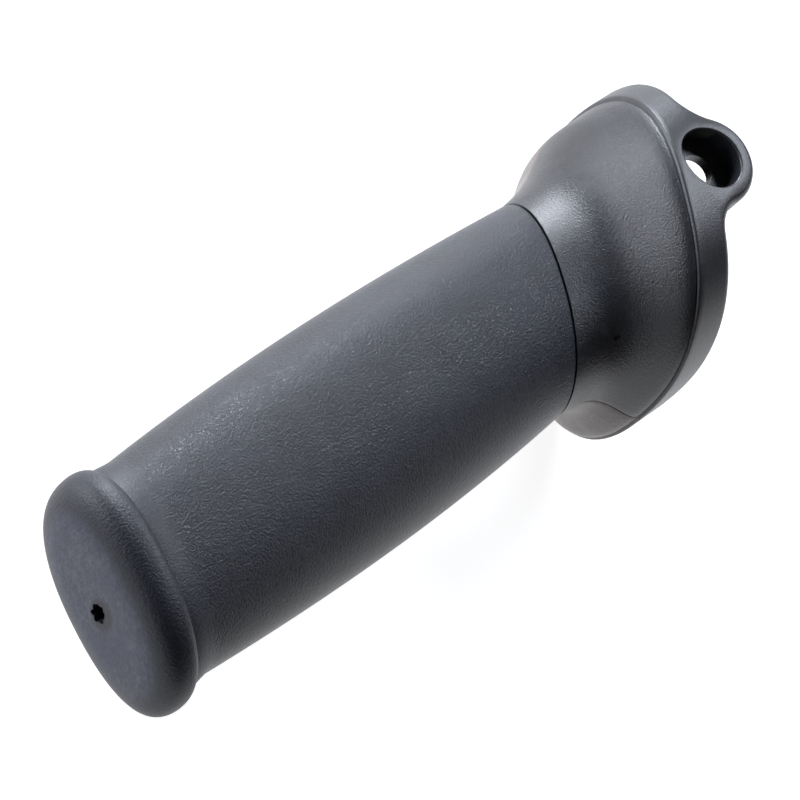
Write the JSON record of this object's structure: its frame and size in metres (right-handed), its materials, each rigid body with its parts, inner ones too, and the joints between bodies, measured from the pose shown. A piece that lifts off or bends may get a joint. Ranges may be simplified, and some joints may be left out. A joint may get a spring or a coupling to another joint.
{
  "type": "brush cutter handle",
  "caption": "Moulded control handle with a soft oval grip, a flared open head and a counterbored screw lug, for the end of a brush cutter's handlebar.",
  "frame": {"origin": "where the axis of the handlebar seat crosses the plane of the mouth", "axes": "+X along the grip from the head to the end cap, +Y across the grip to the side where the mouth lies deeper, +Z square to the parting plane towards the lug"},
  "size_m": [0.1481, 0.0484, 0.0544],
  "materials": {
    "front_shell": "spark-eroded black",
    "rear_shell": "spark-eroded black",
    "sleeve": "fine pebble grain",
    "screws": "zinc plated"
  },
  "bodies": {
    "root": {"front_shell": "front_shell", "rear_shell": "rear_shell", "grip_sleeve": "sleeve", "neck_screw": "screws", "core_screw": "screws"}
  },
  "joints": []
}
